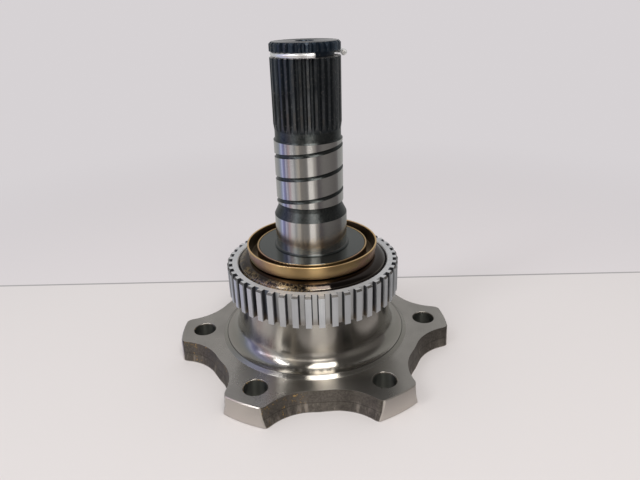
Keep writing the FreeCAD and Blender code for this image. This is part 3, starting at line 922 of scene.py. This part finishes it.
def room_colour(graph, x, y):
    """What lies round the table, by the bearing from -Y, positive towards +X.

    A bright window ahead, a dim room to the right, screens and cabinets to the left, a pale wall behind.
    """
    bearing = graph.maths("ARCTAN2", x, graph.times(y, -1.0))
    ramp = graph.node("ShaderNodeValToRGB")
    graph.feed(ramp.inputs[0], graph.spread(bearing, -math.pi, math.pi, 0.0, 1.0))
    ramp.color_ramp.interpolation = "EASE"
    band = ramp.color_ramp.elements
    while len(band) < len(ROOM_BANDS):
        band.new(0.5)
    for element, (degrees, tone) in zip(band, ROOM_BANDS):
        element.position = (degrees + 180) / 360
        element.color = (*tone, 1.0)
    return ramp.outputs[0]


def stage_material(stage):
    """Pale table and, past its back edge, a slightly duller wall tone that fades into the backdrop.

    Metal sees the room round the table in it, with its window, screens and dark side.
    """
    made, graph = new_material("pale_table")
    spot = Cylindrical(graph)
    past = graph.minus(graph.minus(spot.y, graph.times(spot.x, stage.edge_slope)), stage.edge_place)
    tone = graph.tint(graph.rise(past, -0.0002, 0.0002), stage.floor, stage.backdrop)
    edge_line = graph.times(graph.band(past, -0.0012, 0.0004, 0.0003), 0.75)
    tone = graph.tint(edge_line, tone, stage.edge_tone)
    shader = graph.node("ShaderNodeBsdfDiffuse")
    graph.feed(shader.inputs["Color"], tone)
    path = graph.node("ShaderNodeLightPath")
    fade = graph.both(path.outputs["Is Camera Ray"], graph.rise(spot.radius, 0.16, 0.5))
    seen = mix_shaders(graph, fade, shader.outputs[0], emission(graph, stage.backdrop))

    room = room_colour(graph, spot.x, spot.y)
    far_ahead = graph.both(graph.rise(spot.radius, 0.52, 0.75), graph.rise(spot.y, 0.0, -0.05))
    room = graph.tint(far_ahead, room, stage.far_floor)
    near_right = graph.both(graph.rise(spot.radius, 0.26, 0.16), graph.rise(spot.x, 0.025, 0.05), 0.5)
    room = graph.tint(near_right, room, BLACK)
    mirrored = graph.both(path.outputs["Is Glossy Ray"], graph.rise(spot.radius, 0.068, 0.095))
    surface = mix_shaders(graph, mirrored, seen, emission(graph, room))
    graph.feed(graph.node("ShaderNodeOutputMaterial").inputs["Surface"], surface)
    return made


def room_world(stage):
    """Even light for dull surfaces, the backdrop for the camera, and for metal the room's walls and ceiling.

    Heights are those of a unit direction. The walls are bright just above the low wall ahead, and the
    ceiling is dark but for a strip on the left.
    """
    world = bpy.data.worlds.new("room")
    world.use_nodes = True
    graph = Graph(world.node_tree)
    split = graph.node("ShaderNodeSeparateXYZ")
    graph.feed(split.inputs[0], graph.node("ShaderNodeTexCoord").outputs["Generated"])
    x, y, z = split.outputs
    room = room_colour(graph, x, y)
    low_ahead = graph.both(graph.rise(y, -0.1, -0.4), graph.band(x, -0.45, 0.6, 0.05),
                           graph.rise(z, 0.36, 0.30))
    room = graph.tint(low_ahead, room, stage.low_wall)
    lit_wall = graph.both(graph.band(z, 0.36, 0.47, 0.03), graph.rise(y, 0.1, -0.1),
                          graph.rise(x, 0.40, 0.30))
    gain = graph.maths("MULTIPLY_ADD", lit_wall, stage.wall_gain, 1.0)
    room = graph.tint(1.0, room, graph.join(gain, gain, gain), "MULTIPLY")
    left_strip = graph.both(graph.rise(x, -0.20, -0.35), graph.rise(z, 0.92, 0.84))
    ceiling = graph.both(graph.rise(z, 0.44, 0.54), graph.rise(y, 0.35, 0.0), graph.opposite(left_strip))
    room = graph.tint(ceiling, room, stage.ceiling)
    path = graph.node("ShaderNodeLightPath")
    tone = graph.tint(path.outputs["Is Glossy Ray"], stage.even_light, room)
    tone = graph.tint(path.outputs["Is Camera Ray"], tone, stage.backdrop)
    light = graph.node("ShaderNodeBackground")
    graph.feed(light.inputs["Color"], tone)
    graph.feed(graph.node("ShaderNodeOutputWorld").inputs["Surface"], light.outputs[0])
    return world


def table(name, reach, material):
    """Square table top at the height of the joint face."""
    mesh = bpy.data.meshes.new(name)
    corners = [(-reach, -reach, 0), (reach, -reach, 0), (reach, reach, 0), (-reach, reach, 0)]
    mesh.from_pydata(corners, [], [(0, 1, 2, 3)])
    mesh.materials.append(material)
    made = add_object(name, mesh)


def soft_lamp(name, place, width, height, power, tone):
    """An area lamp that faces the lamps' target."""
    data = bpy.data.lights.new(name, "AREA")
    data.shape = "RECTANGLE"
    data.size, data.size_y = width, height
    data.energy = power
    data.color = tone
    lamp = add_object(name, data)
    lamp.location = place
    lamp.rotation_euler = (Vector(LAMP_TARGET) - Vector(place)).to_track_quat("-Z", "Y").to_euler()


class STUBSHAFT_OT_stage(bpy.types.Operator):
    """Lay the pale table and wall, set the lights and place the camera"""

    bl_idname = "stub_shaft.set_stage"
    bl_label = "Set Stage"

    def execute(self, context):
        stage = context.scene.stub_shaft_stage
        table("table", TABLE_REACH, stage_material(stage))
        for lamp in LAMPS:
            soft_lamp(*lamp)
        context.scene.world = room_world(stage)
        place_camera(stage)
        context.scene.view_settings.view_transform = "Standard"
        return {"FINISHED"}


class STUBSHAFT_PT_panel(bpy.types.Panel):
    """The stub shaft's steps, in the order in which they run"""

    bl_idname = "STUBSHAFT_PT_panel"
    bl_label = "Stub Shaft"
    bl_space_type = "VIEW_3D"
    bl_region_type = "UI"
    bl_category = "Stub Shaft"

    def draw(self, context):
        for operator in OPERATORS:
            self.layout.operator(operator.bl_idname)


SETTINGS = {
    "stub_shaft_zones": StubShaftZones,
    "stub_shaft_finish": StubShaftFinish,
    "stub_shaft_ring": SpeedRingFinish,
    "stub_shaft_deflector": DeflectorSettings,
    "stub_shaft_wire": WireRingSettings,
    "stub_shaft_stage": StageSettings,
}
OPERATORS = (STUBSHAFT_OT_shaft, STUBSHAFT_OT_speed_ring, STUBSHAFT_OT_deflector, STUBSHAFT_OT_wire_ring,
             STUBSHAFT_OT_stage)
CLASSES = (*SETTINGS.values(), *OPERATORS, STUBSHAFT_PT_panel)


def register():
    """Register the classes and hang the settings on the scene."""
    for item in CLASSES:
        bpy.utils.register_class(item)
    for name, group in SETTINGS.items():
        setattr(bpy.types.Scene, name, PointerProperty(type=group))


def unregister():
    """Take the settings off the scene and the classes out again."""
    for name in SETTINGS:
        delattr(bpy.types.Scene, name)
    for item in reversed(CLASSES):
        bpy.utils.unregister_class(item)


def main():
    """Run every step in order."""
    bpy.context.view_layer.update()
    register()
    bpy.ops.stub_shaft.finish_shaft()
    bpy.ops.stub_shaft.finish_speed_ring()
    bpy.ops.stub_shaft.make_deflector()
    bpy.ops.stub_shaft.make_wire_ring()
    bpy.ops.stub_shaft.set_stage()


if __name__ == "__main__":
    main()
